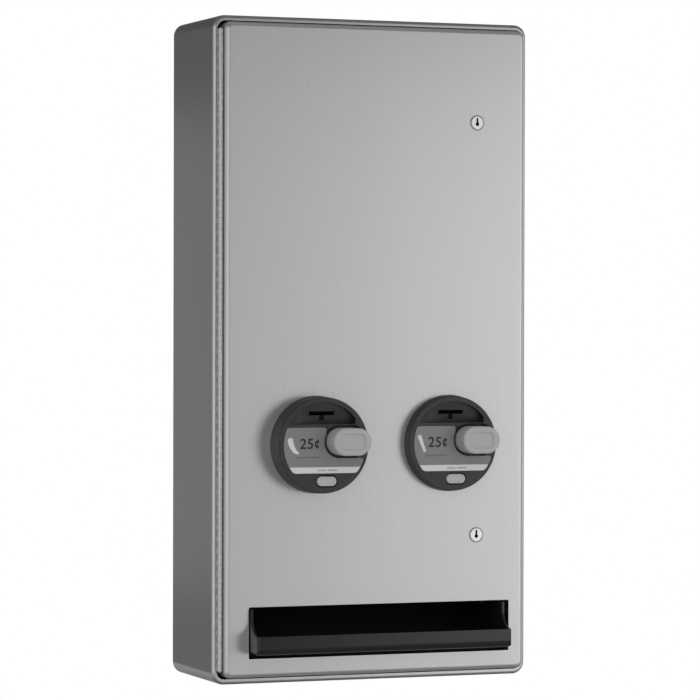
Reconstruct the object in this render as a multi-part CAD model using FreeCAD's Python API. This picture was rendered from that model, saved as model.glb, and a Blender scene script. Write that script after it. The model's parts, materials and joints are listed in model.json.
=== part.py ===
# Surface mounted coin vending machine with two coin mechanisms, one STEP file per piece.
# Millimetres. X runs to the right, Y runs from the door into the wall, Z is up.
# The origin is the middle of the four wall screws, on the wall plane.
import FreeCAD, Part
import math
import os

V = FreeCAD.Vector

# Cabinet
WIDTH = 336.0
HEIGHT = 660.0
DEPTH = 124.0
SHEET = 1.2
CORNER_R = 12.4
BEND_R = 3.2
HALF_W = WIDTH / 2
HALF_H = HEIGHT / 2
INNER_X = HALF_W - SHEET
INNER_Z = HALF_H - SHEET
FRAME_LEFT = -163.5
FRAME_RIGHT = 164.0
FRAME_Z = 324.7
FRAME_R = 8.0
LIP_DEPTH = 12.0

# Wall screws
SCREW_X = 110.0
SCREW_Z = 190.0
SCREW_HOLE_R = 3.5
BACK_FLANGE = 13.0
SCREW_ACCESS_R = 8.0

# Door
DOOR_PROUD = 10.0
DOOR_Y = -DEPTH - DOOR_PROUD
DOOR_BACK = DOOR_Y + SHEET
DOOR_DEPTH = 21.0
DOOR_LEFT = -158.2
DOOR_RIGHT = 162.3
DOOR_Z = 323.2
DOOR_R = 6.5
DOOR_BEND_R = 4.5

# Piano hinge between the frame lip and the door
HINGE_X = -160.85
HINGE_Y = -126.0
KNUCKLE_PITCH = 5.8
KNUCKLES = 109
HINGE_REACH = KNUCKLE_PITCH * KNUCKLES / 2
KNUCKLE_GAP = 0.3
KNUCKLE_R = 2.45
LEAF = 0.9
PIN_R = 1.6
RUNNING = 0.05

# Locks
LOCK_X = 110.0
UPPER_LOCK_Z = 229.1
LOWER_LOCK_Z = -186.8
LOCK_BODY_R = 7.0
LOCK_RING_R = 7.7
LOCK_RING = 0.8
LOCK_GROOVE_R = 6.9
LOCK_GROOVE = 0.7
LOCK_FACE_R = 6.1
LOCK_PLUG_R = 5.2
LOCK_TAIL = 2.5
LOCK_NUT = 18.0
CAM_FRONT = -106.6
CAM_SHEET = 2.0
CAM_REACH = 34.0
CAM_HALF_W = 7.5
STRIKE_FRONT = -110.2
STRIKE_SHEET = 1.5
STRIKE_TIP = 131.0
STRIKE_HALF_H = 16.0

# Coin mechanisms, one for each product
NAPKIN_X = -63.0
TAMPON_X = 79.7
MECH_Z = -93.7
NAPKIN_PROUD = 22.0
TAMPON_PROUD = 11.0
DRUM_R = 48.5
DRUM_DRAFT = 1.0
DRUM_REAR_R = 44.5
DRUM_HOLE_R = 44.8
DRUM_REAR = -118.0
DRUM_SKIN = 12.0
DRUM_WALL = 3.0
PLATE_FRONT = -108.0
PLATE_BACK = -106.0
PLATE_LEFT = -46.7
PLATE_RIGHT = 46.7
PLATE_HALF_H = 44.0
LEG_HALF_H = 20.0
FOOT = 8.0
BOSSES = ((-37.0, 14.0), (-37.0, -14.0), (27.0, 30.0), (27.0, -28.0))
BOSS_R = 3.5

# Coin scoop, coin slot and price label on the face of the drum
SCOOP_R = 42.6
SCOOP_RIGHT = 33.5
SCOOP_SLOPE = (-38.0, -15.0)
SCOOP_LOW = 20.8
SCOOP_TOP_DEPTH = 3.5
SCOOP_LOW_DEPTH = 9.0
SLOT_Z = 31.5
SLOT_LONG = 27.0
SLOT_TALL = 4.0
SLOT_STEM_W = 5.2
SLOT_STEM_LOW = 24.4
LABEL_R = 43.3
LABEL_SHIFT = 1.4
LABEL_TOP = 17.6
LABEL_LOW = -27.8
LABEL_END = 2.8
LABEL_STEP = -12.8
LABEL_SHEET = 0.8

# Push knobs
KNOB_X = 23.2
KNOB_Z = 3.6
KNOB_LONG = 39.4
KNOB_TALL = 27.2
KNOB_R = 13.4
KNOB_OUT = 20.0
KNOB_IN = 12.0
KNOB_SLIP = 0.6
POCKET_SLIP = 2.8
POCKET_DEEP = 8.0
DISH_LONG = 25.5
DISH_TALL = 16.5
DISH_R = 4.5
DISH_DEEP = 0.9
PLUNGER_R = 4.0
PLUNGER_TIP = -100.8
SEAT_R = 8.2
SEAT_DEEP = 8.0

# Straight runs of wire in one turn of a spring
COIL_STEPS = 12

# Coin return buttons
BUTTON_X = 3.0
BUTTON_Z = -35.5
BUTTON_LONG = 20.5
BUTTON_TALL = 9.6
BUTTON_DISH = 0.5
BUTTON_OUT = 1.5
BUTTON_BODY = 14.0
BUTTON_SLIP = 1.2
BUTTON_FLOOR = -122.0
STEM_R = 2.5
STEM_TIP = -106.6

# Coin chutes behind the drums
CHUTE_FRONT = -115.0
CHUTE_SHEET = 1.0
CHUTE_LOW = -47.0

# Coin boxes on a shelf inside the door
SHELF_Z = -240.0
BOX_TOP = -154.0
BOX_FRONT = -131.2
BOX_BACK = -104.8
BOX_SHEET = 1.0
LEFT_BOX = (-108.0, -30.0)
RIGHT_BOX = (20.0, 96.0)
SHELF_LIP = 10.0

# Product magazines
MAG_SHEET = 1.2
MAG_LOW = -150.6
MAG_TOP = 312.0
MAG_FRONT = -92.0
MAG_BACK = -SHEET
MAG_LIP = 14.0
NAPKIN_MAG = (-156.0, -50.0)
TAMPON_MAG = (-22.0, 88.0)
TAMPON_BACK = -46.0
MAG_SCREW_ZS = (-120.0, 95.0, 285.0)
SHANK_R = 2.0
SCREW_HEAD = 2.2
SCREW_END = -0.2

# Release rockers under the magazines
PIVOT_Y = -98.0
PIVOT_Z = -130.6
ROD_R = 2.5
HUB_R = 4.0
HUB_START = 9.0
ARM_HALF_W = 5.0
ARM_TOP = 46.6
FINGER_SHEET = 2.0
RAIL_FRONT = -93.5
RAIL_LOW = -138.6
RAIL_TOP = -124.6
EAR = 1.5
NAPKIN_ROD = (-153.0, -26.5)
TAMPON_ROD = (-14.0, 115.5)

# Delivery chute and tray
SLOPE_TOP_Z = -222.0
SLOPE_FLANGE_Z = -206.0
SLOPE_LOW_Z = -296.0
SLOPE_FRONT = -89.6
SLOPE_BACK_X = (-157.0, 148.0)
SLOPE_SIDE = 24.0
TRAY_LEFT = -132.3
TRAY_RIGHT = 139.9
TRAY_WALL = 2.5
TRAY_LOW = -299.7
TRAY_TOP = -255.4
TRAY_NOSE = -157.0
TRAY_NOSE_R = 3.2
TRAY_END_R = 3.5
TRAY_LIP_Z = -281.0
TRAY_BACK = -90.0
TRAY_CURVE_R = 18.0
TRAY_BLEND = 8.0
TRAY_FOOT_XS = (TRAY_LEFT + 20, TRAY_RIGHT - 34)
TRAY_FOOT = 14.0
TRAY_FOOT_FRONT = -110.0
TRAY_SKIRT_LOW = -316.0
TRAY_SCREW_XS = (TRAY_FOOT_XS[0] + 8.5, TRAY_FOOT_XS[1] + 8.5)
TRAY_SCREW_Y = -100.0
MOUTH = (-133.3, 145.9, -304.6, -253.4)
MOUTH_R = 1.5


def box(x0, x1, y0, y1, z0, z1):
    """A box between two corners."""
    return Part.makeBox(x1 - x0, y1 - y0, z1 - z0, V(x0, y0, z0))


def rod_x(x0, x1, y, z, r):
    """A cylinder along X."""
    return Part.makeCylinder(r, x1 - x0, V(x0, y, z), V(1, 0, 0))


def rod_y(x, z, r, y0, y1):
    """A cylinder along Y."""
    return Part.makeCylinder(r, y1 - y0, V(x, y0, z), V(0, 1, 0))


def rod_z(x, y, r, z0, z1):
    """A cylinder along Z."""
    return Part.makeCylinder(r, z1 - z0, V(x, y, z0), V(0, 0, 1))


def prism_x(outline, x0, x1):
    """An outline of (y, z) points, drawn along X."""
    points = [V(x0, y, z) for y, z in outline]
    face = Part.Face(Part.makePolygon(points + points[:1]))
    return face.extrude(V(x1 - x0, 0, 0))


def prism_y(outline, y0, y1):
    """An outline of (x, z) points, drawn along Y."""
    points = [V(x, y0, z) for x, z in outline]
    face = Part.Face(Part.makePolygon(points + points[:1]))
    return face.extrude(V(0, y1 - y0, 0))


def prism_z(outline, z0, z1):
    """An outline of (x, y) points, drawn along Z."""
    points = [V(x, y, z0) for x, y in outline]
    face = Part.Face(Part.makePolygon(points + points[:1]))
    return face.extrude(V(0, 0, z1 - z0))


def rounded_y(x0, x1, z0, z1, r, y0, y1):
    """A slab with four rounded corners, drawn along Y."""
    slab = box(x0, x1, y0, y1, z0, z1)
    upright = [e for e in slab.Edges if abs(e.tangentAt(e.FirstParameter).y) > 0.9]
    return slab.makeFillet(r, upright)


def stadium_y(x, z, long, tall, y0, y1):
    """A slab with half round ends, drawn along Y."""
    r = tall / 2
    reach = long / 2 - r
    slab = box(x - reach, x + reach, y0, y1, z - r, z + r)
    ends = [rod_y(x - reach, z, r, y0, y1), rod_y(x + reach, z, r, y0, y1)]
    return slab.multiFuse(ends).removeSplitter()


def joined(first, *others):
    """One solid out of touching or crossing shapes."""
    return first.multiFuse(list(others)).removeSplitter()


def grouped(pieces):
    """Separate solids kept as one group."""
    return Part.makeCompound([s for p in pieces for s in p.Solids])


def edges_at_y(shape, y):
    """The edges of a shape that lie whole in the plane at y."""
    def flat(e):
        return abs(e.BoundBox.YMin - y) < 1e-4 and abs(e.BoundBox.YMax - y) < 1e-4
    return [e for e in shape.Edges if flat(e)]


def bent_wire(points, wire_r):
    """A round wire through a row of points, with a mitred bend at each."""
    section = Part.Wire(Part.makeCircle(wire_r, points[0], points[1] - points[0]))
    return Part.makePolygon(points).makePipeShell([section], True, False, 1)


def coil_y(x, z, y0, y1, coil_r, wire_r, turns):
    """A compression spring along Y with its wire inside y0 to y1."""
    steps = turns * COIL_STEPS
    points = []
    for i in range(steps + 1):
        turn = 2 * math.pi * i / COIL_STEPS
        y = y0 + wire_r + (y1 - y0 - 2 * wire_r) * i / steps
        points.append(V(x + coil_r * math.cos(turn), y, z + coil_r * math.sin(turn)))
    return bent_wire(points, wire_r)


def hexagon_y(x, z, across, y0, y1):
    """A six sided nut blank along Y."""
    r = across / math.sqrt(3)
    corners = [(x + r * math.cos(math.radians(60 * i)), z + r * math.sin(math.radians(60 * i)))
               for i in range(6)]
    return prism_y(corners, y0, y1)


def pan_head_y(x, z, y_head, y_tip, shank_r=SHANK_R, head_r=3.6, head=SCREW_HEAD):
    """A screw driven along Y, with a domed head that ends at y_head and a shank to y_tip."""
    side = 1 if y_tip > y_head else -1
    low, high = sorted((y_head, y_head + side * head))
    dome = rod_y(x, z, head_r, low, high)
    dome = dome.makeFillet(head * 0.6, edges_at_y(dome, y_head))
    slot_low, slot_high = sorted((y_head, y_head + side * head * 0.4))
    dome = dome.cut(box(x - head_r, x + head_r, slot_low, slot_high, z - 0.4, z + 0.4))
    low, high = sorted((y_head + side * head, y_tip))
    return joined(dome, rod_y(x, z, shank_r, low, high))


# Cabinet

def cabinet_shell():
    """The wrap of the cabinet with its front flange and the lip round the door opening."""
    outer = rounded_y(-HALF_W, HALF_W, -HALF_H, HALF_H, CORNER_R, -DEPTH, 0)
    outer = outer.makeFillet(BEND_R, edges_at_y(outer, -DEPTH))
    inner = rounded_y(-INNER_X, INNER_X, -INNER_Z, INNER_Z, CORNER_R - SHEET, -DEPTH + SHEET, 0)
    inner = inner.makeFillet(BEND_R - SHEET, edges_at_y(inner, -DEPTH + SHEET))
    opening = rounded_y(FRAME_LEFT, FRAME_RIGHT, -FRAME_Z, FRAME_Z, FRAME_R, -DEPTH - 1, 0)
    lip = rounded_y(FRAME_LEFT - SHEET, FRAME_RIGHT + SHEET, -FRAME_Z - SHEET, FRAME_Z + SHEET,
                    FRAME_R + SHEET, -DEPTH + SHEET / 2, -DEPTH + LIP_DEPTH)
    shell = joined(outer.cut(inner), lip).cut(opening)
    for x in TRAY_SCREW_XS:
        shell = shell.cut(rod_z(x, TRAY_SCREW_Y, SHANK_R, -HALF_H - 1, -INNER_Z + 1))
    return shell


def back_panel():
    """The flanged back panel with the wall screw holes and the holes for the inner screws."""
    r = CORNER_R - SHEET
    tub = rounded_y(-INNER_X, INNER_X, -INNER_Z, INNER_Z, r, -BACK_FLANGE, 0)
    room = rounded_y(-INNER_X + SHEET, INNER_X - SHEET, -INNER_Z + SHEET, INNER_Z - SHEET,
                     r - SHEET, -BACK_FLANGE - 1, -SHEET)
    panel = tub.cut(room)
    for x in (-SCREW_X, SCREW_X):
        for z in (-SCREW_Z, SCREW_Z):
            panel = panel.cut(rod_y(x, z, SCREW_HOLE_R, -SHEET - 1, 1))
    for x, z in napkin_screw_places() + tampon_screw_places() + chute_screw_places():
        panel = panel.cut(rod_y(x, z, SHANK_R, -SHEET - 1, 1))
    return panel


def hinge_leaf(side):
    """One leaf of the piano hinge. Side -1 is on the frame lip, side 1 is on the door."""
    plate_a = HINGE_X + side * (KNUCKLE_R + 0.2 - LEAF)
    plate_b = HINGE_X + side * (KNUCKLE_R + 0.2)
    low, high = sorted((plate_a, plate_b))
    back = DOOR_Y + DOOR_DEPTH
    roll = rod_z(HINGE_X, HINGE_Y, KNUCKLE_R, -HINGE_REACH, HINGE_REACH)
    plate = box(low, high, HINGE_Y, back, -HINGE_REACH, HINGE_REACH)
    bore = rod_z(HINGE_X, HINGE_Y, PIN_R + RUNNING, -HINGE_REACH - 1, HINGE_REACH + 1)
    leaf = joined(roll, plate).cut(bore)
    others = range(0 if side == 1 else 1, KNUCKLES, 2)
    gap_x = KNUCKLE_R + 0.3
    gaps = [box(HINGE_X - gap_x, HINGE_X + gap_x, HINGE_Y - gap_x, HINGE_Y + KNUCKLE_R + 0.1,
                -HINGE_REACH + i * KNUCKLE_PITCH - KNUCKLE_GAP,
                -HINGE_REACH + (i + 1) * KNUCKLE_PITCH) for i in others]
    return leaf.cut(Part.makeCompound(gaps))


def hinge_pin():
    """The pin through all the knuckles, with a head at each end."""
    return rod_z(HINGE_X, HINGE_Y, PIN_R, -HINGE_REACH - 1.5, HINGE_REACH + 1.5)


def lock_strikes():
    """Two angle brackets on the right wall, which the lock cams turn behind."""
    pieces = []
    for z in (UPPER_LOCK_Z, LOWER_LOCK_Z):
        face = box(STRIKE_TIP, INNER_X, STRIKE_FRONT, STRIKE_FRONT + STRIKE_SHEET,
                   z - STRIKE_HALF_H, z + STRIKE_HALF_H)
        leg = box(INNER_X - STRIKE_SHEET, INNER_X, STRIKE_FRONT, STRIKE_FRONT + 26,
                  z - STRIKE_HALF_H, z + STRIKE_HALF_H)
        pieces.append(joined(face, leg))
    return grouped(pieces)


def magazine_channel(x0, x1, back):
    """An open fronted channel that holds a stack of packs, with front lips."""
    outside = box(x0, x1, MAG_FRONT, back, MAG_LOW, MAG_TOP)
    inside = box(x0 + MAG_SHEET, x1 - MAG_SHEET, MAG_FRONT + MAG_SHEET, back - MAG_SHEET,
                 MAG_LOW - 1, MAG_TOP + 1)
    front = box(x0 + MAG_LIP, x1 - MAG_LIP, MAG_FRONT - 1, MAG_FRONT + MAG_SHEET + 1,
                MAG_LOW - 1, MAG_TOP + 1)
    ledge = box(x0 + 26, x1 - 26, back - MAG_SHEET - 6, back - MAG_SHEET / 2,
                MAG_LOW, MAG_LOW + MAG_SHEET)
    return joined(outside.cut(inside).cut(front), ledge)


def napkin_magazine():
    """The deep channel on the left, with an access hole to a wall screw."""
    channel = magazine_channel(NAPKIN_MAG[0], NAPKIN_MAG[1], MAG_BACK)
    channel = channel.cut(rod_y(-SCREW_X, SCREW_Z, SCREW_ACCESS_R, MAG_BACK - 3, MAG_BACK + 1))
    for x, z in napkin_screw_places():
        channel = channel.cut(rod_y(x, z, SHANK_R, MAG_BACK - 3, MAG_BACK + 1))
    return channel


def tampon_magazine():
    """The shallow channel on the right, stood off the back panel by its side walls."""
    x0, x1 = TAMPON_MAG
    pieces = [magazine_channel(x0, x1, TAMPON_BACK)]
    for wall, flange in ((x0, x0 - 12), (x1 - MAG_SHEET, x1)):
        pieces.append(box(wall, wall + MAG_SHEET, TAMPON_BACK - 1, MAG_BACK, MAG_LOW, MAG_TOP))
        pieces.append(box(flange, flange + 12 + MAG_SHEET * (wall == x0), MAG_BACK - MAG_SHEET,
                          MAG_BACK, MAG_LOW, MAG_TOP))
    channel = joined(*pieces)
    for x, z in tampon_screw_places():
        channel = channel.cut(rod_y(x, z, SHANK_R, MAG_BACK - 3, MAG_BACK + 1))
    return channel


def napkin_screw_places():
    """The (x, z) places of the screws in the back of the napkin magazine."""
    return [(x, z) for z in MAG_SCREW_ZS for x in (NAPKIN_MAG[0] + 18, NAPKIN_MAG[1] - 18)]


def tampon_screw_places():
    """The (x, z) places of the screws in the flanges of the tampon magazine."""
    return [(x, z) for z in MAG_SCREW_ZS for x in (TAMPON_MAG[0] - 6, TAMPON_MAG[1] + 6)]


def magazine_screws():
    """Pan head screws that hold the magazines to the back panel."""
    head = MAG_BACK - MAG_SHEET - SCREW_HEAD
    places = napkin_screw_places() + tampon_screw_places()
    return grouped([pan_head_y(x, z, head, SCREW_END) for x, z in places])


def pivot_rail():
    """The rail across the cabinet whose four ears carry the rocker rods."""
    back = MAG_FRONT
    rail = box(-INNER_X, INNER_X, RAIL_FRONT, back, RAIL_LOW, RAIL_TOP)
    tabs = [box(-INNER_X, -INNER_X + EAR, back - 1, back + 14, RAIL_LOW, RAIL_TOP),
            box(INNER_X - EAR, INNER_X, back - 1, back + 14, RAIL_LOW, RAIL_TOP)]
    ears = []
    for low, high in (NAPKIN_ROD, TAMPON_ROD):
        for x in (low, high - EAR):
            ears.append(box(x, x + EAR, PIVOT_Y - 5, RAIL_FRONT + 0.5, PIVOT_Z - 5, PIVOT_Z + 5))
    rail = joined(rail, *(tabs + ears))
    return rail.cut(rod_x(-INNER_X + 3, INNER_X - 3, PIVOT_Y, PIVOT_Z, ROD_R))


def pivot_rods():
    """The two rods that the rockers turn on, riveted over at their ends."""
    rods = []
    for low, high in (NAPKIN_ROD, TAMPON_ROD):
        rod = rod_x(low - 1, high + 1, PIVOT_Y, PIVOT_Z, ROD_R)
        heads = [rod_x(low - 1.6, low, PIVOT_Y, PIVOT_Z, ROD_R + 1.2),
                 rod_x(high, high + 1.6, PIVOT_Y, PIVOT_Z, ROD_R + 1.2)]
        rods.append(joined(rod, *heads))
    return grouped(rods)


def rocker(rod, arm_x, finger):
    """A release rocker: hub, push arm, clamp finger and support finger."""
    sheet = FINGER_SHEET
    hub = rod_x(rod[0] + EAR + HUB_START, rod[1] - EAR - 0.4, PIVOT_Y, PIVOT_Z, HUB_R)
    arm = prism_x([(-sheet, 0), (-sheet, ARM_TOP), (0, ARM_TOP), (0, 0)],
                  arm_x - ARM_HALF_W, arm_x + ARM_HALF_W)
    support = prism_x([(-sheet, 0), (-sheet, -20), (18, -20), (18, -20 + sheet),
                       (0, -20 + sheet), (0, 0)], finger[0], finger[1])
    clamp = prism_x([(-sheet, 0), (-sheet, 17), (5, 17), (5, 17 - sheet),
                     (0, 17 - sheet), (0, 0)], finger[0] + 8, finger[1] - 8)
    plates = [p.translated(V(0, PIVOT_Y, PIVOT_Z)) for p in (arm, support, clamp)]
    body = joined(hub, *plates)
    end = rod[0] + EAR + HUB_START
    notch = box(end - 1, end + 3, PIVOT_Y - 0.7, PIVOT_Y + 0.7, PIVOT_Z - HUB_R - 1, PIVOT_Z)
    return body.cut(rod_x(rod[0], rod[1], PIVOT_Y, PIVOT_Z, ROD_R + RUNNING)).cut(notch)


def napkin_rocker():
    """The rocker that lets one napkin pack fall."""
    return rocker(NAPKIN_ROD, NAPKIN_X + KNOB_X, (NAPKIN_MAG[0] + 20, NAPKIN_MAG[1] - 20))


def tampon_rocker():
    """The rocker that lets one tampon pack fall."""
    return rocker(TAMPON_ROD, TAMPON_X + KNOB_X, (TAMPON_MAG[0] + 20, TAMPON_MAG[1] - 20))


def rocker_spring(rod):
    """A torsion spring on a rod, with one leg on the rail and one in the notch of the hub."""
    wire_r, run, turns = 0.5, 6.5, 5
    coil_r = ROD_R + 0.4 + wire_r
    start = rod[0] + EAR + 1.2
    points = [V(start, RAIL_FRONT - 0.1, PIVOT_Z - coil_r)]
    for i in range(turns * COIL_STEPS + 1):
        turn = 2 * math.pi * i / COIL_STEPS
        points.append(V(start + run * i / (turns * COIL_STEPS), PIVOT_Y - coil_r * math.sin(turn),
                        PIVOT_Z - coil_r * math.cos(turn)))
    points.append(V(rod[0] + EAR + HUB_START + 2.5, PIVOT_Y, PIVOT_Z - coil_r))
    return bent_wire(points, wire_r)


def drop_chute():
    """The sloping sheet that guides a falling pack forward, between walls that draw in."""
    low = SLOPE_FRONT
    front_x = (TRAY_LEFT + TRAY_WALL, TRAY_RIGHT - TRAY_WALL)
    plan = [(SLOPE_BACK_X[0], MAG_BACK), (SLOPE_BACK_X[1], MAG_BACK), (front_x[1], low),
            (front_x[0], low)]
    shapes = []
    under = [(MAG_BACK, SLOPE_TOP_Z - SHEET), (low, SLOPE_LOW_Z - SHEET)]
    sheet = prism_x([(MAG_BACK, SLOPE_FLANGE_Z)] + under
                    + [(low, SLOPE_LOW_Z), (MAG_BACK - SHEET, SLOPE_TOP_Z),
                       (MAG_BACK - SHEET, SLOPE_FLANGE_Z)], -HALF_W, HALF_W)
    shapes.append(sheet.common(prism_z(plan, SLOPE_LOW_Z - 5, SLOPE_FLANGE_Z + 5)))
    band = prism_x(under + [(low, SLOPE_LOW_Z + SLOPE_SIDE), (MAG_BACK, SLOPE_TOP_Z + SLOPE_SIDE)],
                   -HALF_W, HALF_W)
    for side in (0, 1):
        back_x, tray_x = SLOPE_BACK_X[side], front_x[side]
        out = SHEET if side else -SHEET
        wall = [(back_x, MAG_BACK), (back_x + out, MAG_BACK), (tray_x + out, low), (tray_x, low)]
        shapes.append(band.common(prism_z(wall, SLOPE_LOW_Z - 5, SLOPE_TOP_Z + SLOPE_SIDE + 5)))
    chute = joined(*shapes)
    for x, z in chute_screw_places():
        chute = chute.cut(rod_y(x, z, SHANK_R, MAG_BACK - 5, 1))
    return chute


def chute_screw_places():
    """The (x, z) places of the screws in the top flange of the drop chute."""
    return [(x, SLOPE_FLANGE_Z - 6.5) for x in (-130.0, 0.0, 130.0)]


def chute_screws():
    """Screws through the top flange of the drop chute."""
    head = MAG_BACK - SHEET - SCREW_HEAD
    return grouped([pan_head_y(x, z, head, SCREW_END) for x, z in chute_screw_places()])


def tray_profile():
    """Side outline of the tray as a face in the YZ plane at X = 0."""
    nose = TRAY_NOSE
    low = TRAY_LOW
    r = TRAY_CURVE_R
    door_side = TRAY_NOSE + 2 + r
    centre = V(0, TRAY_NOSE + 2, TRAY_LIP_Z + r)
    hollow = V(0, centre.y + r * math.sqrt(0.5), centre.z - r * math.sqrt(0.5))
    blend = TRAY_BLEND
    corner = V(0, nose + blend * (1 - math.sqrt(0.5)), low + blend * (1 - math.sqrt(0.5)))
    back, top = V(0, TRAY_BACK, low), V(0, TRAY_BACK, TRAY_TOP)
    edges = [
        Part.LineSegment(top, V(0, door_side, TRAY_TOP)),
        Part.LineSegment(V(0, door_side, TRAY_TOP), V(0, door_side, centre.z)),
        Part.Arc(V(0, door_side, centre.z), hollow, V(0, centre.y, TRAY_LIP_Z)),
        Part.LineSegment(V(0, centre.y, TRAY_LIP_Z), V(0, nose, TRAY_LIP_Z)),
        Part.LineSegment(V(0, nose, TRAY_LIP_Z), V(0, nose, low + blend)),
        Part.Arc(V(0, nose, low + blend), corner, V(0, nose + blend, low)),
        Part.LineSegment(V(0, nose + blend, low), back),
        Part.LineSegment(back, top),
    ]
    return Part.Face(Part.Wire([e.toShape() for e in edges]))


def tray_plan(inset, low):
    """The tray seen from above, with rounded front corners, shrunk by inset and drawn up from low."""
    slab = box(TRAY_LEFT + inset, TRAY_RIGHT - inset, TRAY_NOSE + inset, TRAY_BACK + 1, low, TRAY_TOP + 1)
    front = [e for e in slab.Edges if e.BoundBox.YMax < TRAY_NOSE + inset + 1e-3
             and abs(e.tangentAt(e.FirstParameter).z) > 0.9]
    return slab.makeFillet(TRAY_NOSE_R - inset, front)


def dispensing_tray():
    """The moulded tray with its lip in front of the door, a skirt below and feet on the floor."""
    outer = tray_profile().extrude(V(TRAY_RIGHT - TRAY_LEFT, 0, 0))
    outer.translate(V(TRAY_LEFT, 0, 0))
    outer = outer.common(tray_plan(0.0, TRAY_LOW - 1))
    outer = outer.common(rounded_y(TRAY_LEFT, TRAY_RIGHT, TRAY_LOW, TRAY_TOP + 20, TRAY_END_R,
                                   TRAY_NOSE - 1, TRAY_BACK + 1))
    pieces = [outer.cut(tray_plan(TRAY_WALL, TRAY_LOW + TRAY_WALL))]
    front = TRAY_FOOT_FRONT
    pieces.append(box(TRAY_LEFT + TRAY_WALL, TRAY_RIGHT - TRAY_WALL, front, front + TRAY_WALL,
                      TRAY_SKIRT_LOW, TRAY_LOW + 1))
    for x in TRAY_FOOT_XS:
        pieces.append(box(x, x + TRAY_WALL, front, TRAY_BACK, -INNER_Z, TRAY_LOW + 1))
        pieces.append(box(x, x + TRAY_FOOT, front, TRAY_BACK, -INNER_Z, -INNER_Z + TRAY_WALL))
    tray = joined(*pieces)
    for x in TRAY_SCREW_XS:
        tray = tray.cut(rod_z(x, TRAY_SCREW_Y, SHANK_R, -HALF_H, -INNER_Z + TRAY_WALL + 1))
    return tray


def tray_screws():
    """Screws that hold the feet of the tray to the cabinet floor."""
    screws = []
    foot_top = -INNER_Z + TRAY_WALL
    for x in TRAY_SCREW_XS:
        head = rod_z(x, TRAY_SCREW_Y, 3.6, foot_top, foot_top + SCREW_HEAD)
        shank = rod_z(x, TRAY_SCREW_Y, SHANK_R, -HALF_H + 0.2, foot_top)
        screws.append(joined(head, shank))
    return grouped(screws)


# Door

def door_panel():
    """The pan door with holes for the two mechanisms, the two locks and the tray."""
    back = DOOR_Y + DOOR_DEPTH
    outer = rounded_y(DOOR_LEFT, DOOR_RIGHT, -DOOR_Z, DOOR_Z, DOOR_R, DOOR_Y, back)
    outer = outer.makeFillet(DOOR_BEND_R, edges_at_y(outer, DOOR_Y))
    inner = rounded_y(DOOR_LEFT + SHEET, DOOR_RIGHT - SHEET, -DOOR_Z + SHEET, DOOR_Z - SHEET,
                      DOOR_R - SHEET, DOOR_BACK, back + 1)
    inner = inner.makeFillet(DOOR_BEND_R - SHEET, edges_at_y(inner, DOOR_BACK))
    tools = [rod_y(x, MECH_Z, DRUM_HOLE_R, DOOR_Y - 1, DOOR_BACK + 1) for x in (NAPKIN_X, TAMPON_X)]
    tools += [rod_y(LOCK_X, z, LOCK_BODY_R, DOOR_Y - 1, DOOR_BACK + 1)
              for z in (UPPER_LOCK_Z, LOWER_LOCK_Z)]
    tools.append(rounded_y(*MOUTH, MOUTH_R, DOOR_Y - 1, DOOR_BACK + 1))
    panel = outer.cut(inner)
    for tool in tools:
        panel = panel.cut(tool)
    return panel


def lock_housing(z):
    """A lock barrel with its front ring and a groove round the face of the plug."""
    front = DOOR_Y - LOCK_RING
    ring = rod_y(LOCK_X, z, LOCK_RING_R, front, DOOR_Y)
    ring = ring.makeFillet(0.5, edges_at_y(ring, front))
    barrel = rod_y(LOCK_X, z, LOCK_BODY_R, DOOR_Y, CAM_FRONT - 0.5)
    bore = joined(rod_y(LOCK_X, z, LOCK_GROOVE_R, front - 1, front + LOCK_GROOVE),
                  rod_y(LOCK_X, z, LOCK_FACE_R + RUNNING, front - 1, DOOR_Y + 1),
                  rod_y(LOCK_X, z, LOCK_PLUG_R + RUNNING, front - 1, CAM_FRONT))
    return joined(ring, barrel).cut(bore)


def lock_nuts():
    """The flat nuts that clamp the two lock barrels to the door."""
    nuts = []
    for z in (UPPER_LOCK_Z, LOWER_LOCK_Z):
        blank = hexagon_y(LOCK_X, z, LOCK_NUT, DOOR_BACK, DOOR_BACK + 3)
        nuts.append(blank.cut(rod_y(LOCK_X, z, LOCK_BODY_R, DOOR_BACK - 1, DOOR_BACK + 4)))
    return grouped(nuts)


def lock_plug(z):
    """The turning plug with a wide face, a keyway in it and a square tail for the cam."""
    front = DOOR_Y - LOCK_RING + 0.3
    face = rod_y(LOCK_X, z, LOCK_FACE_R, front, DOOR_Y + 1 - RUNNING)
    plug = joined(face, rod_y(LOCK_X, z, LOCK_PLUG_R, front + 1, CAM_FRONT - 0.5))
    tail = box(LOCK_X - LOCK_TAIL, LOCK_X + LOCK_TAIL, CAM_FRONT - 1, CAM_FRONT + CAM_SHEET,
               z - LOCK_TAIL, z + LOCK_TAIL)
    key = [box(LOCK_X - 1.0, LOCK_X + 1.0, front - 1, front + 8, z - 1.3, z + 4.9),
           rod_y(LOCK_X, z - 1.3, 1.9, front - 1, front + 8)]
    return joined(plug, tail).cut(joined(*key))


def lock_cam(z):
    """The flat cam on the tail of the plug, which hangs down when the lock is open."""
    plate = stadium_y(LOCK_X, z, CAM_HALF_W * 2 + 1e-3, CAM_HALF_W * 2, CAM_FRONT,
                      CAM_FRONT + CAM_SHEET)
    arm = box(LOCK_X - CAM_HALF_W, LOCK_X + CAM_HALF_W, CAM_FRONT, CAM_FRONT + CAM_SHEET,
              z - CAM_REACH, z)
    hole = box(LOCK_X - LOCK_TAIL, LOCK_X + LOCK_TAIL, CAM_FRONT - 1, CAM_FRONT + CAM_SHEET + 1,
               z - LOCK_TAIL, z + LOCK_TAIL)
    return joined(plate, arm).cut(hole)


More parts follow.
